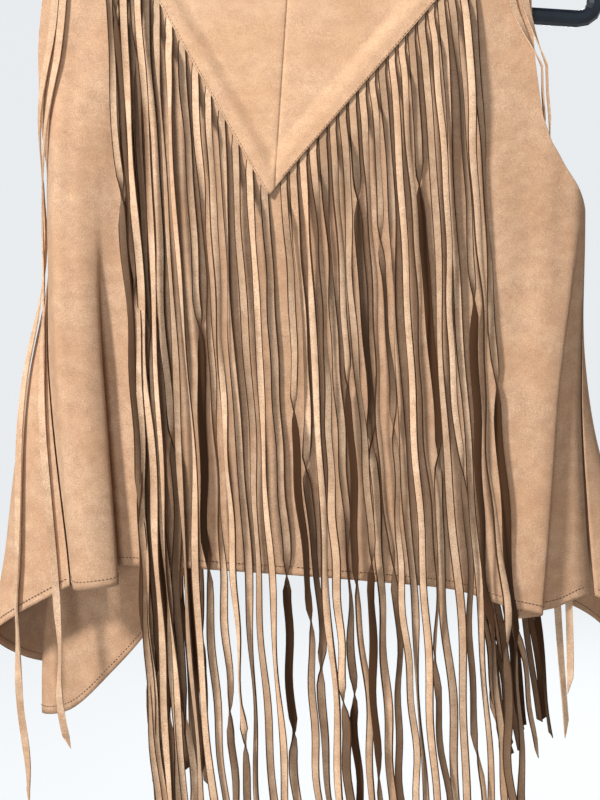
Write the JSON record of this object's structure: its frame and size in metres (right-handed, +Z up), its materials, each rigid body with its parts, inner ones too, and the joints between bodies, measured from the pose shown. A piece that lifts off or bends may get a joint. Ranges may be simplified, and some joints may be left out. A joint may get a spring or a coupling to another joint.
{
  "type": "fringed suede vest on a hanger",
  "caption": "Sleeveless open-front suede vest hung from a tubular hanger, with a pointed back yoke, long hanging fringe and pointed draped fronts.",
  "frame": {"origin": "inner top of the hanger's hook, where a rail bears", "axes": "+Z up, +X to the right seen from the vest's back, +Y from the back panel towards the fronts"},
  "size_m": [0.5218, 0.1536, 0.8091],
  "materials": {
    "hanger_plastic": "smooth black moulded plastic with a soft gloss",
    "suede": "tan suede with a short mottled nap",
    "fringe_suede": "tan suede cut in narrow strands, darker at the cut edges"
  },
  "bodies": {
    "root": {"hanger": "hanger_plastic", "back_panel": "suede", "back_yoke_left": "suede", "back_yoke_right": "suede", "front_left": "suede", "front_right": "suede", "front_yoke_left": "suede", "front_yoke_right": "suede", "fringe_back_left": "fringe_suede", "fringe_back_right": "fringe_suede", "fringe_front_left": "fringe_suede", "fringe_front_right": "fringe_suede", "fringe_side_left": "fringe_suede", "fringe_side_right": "fringe_suede"}
  },
  "joints": []
}
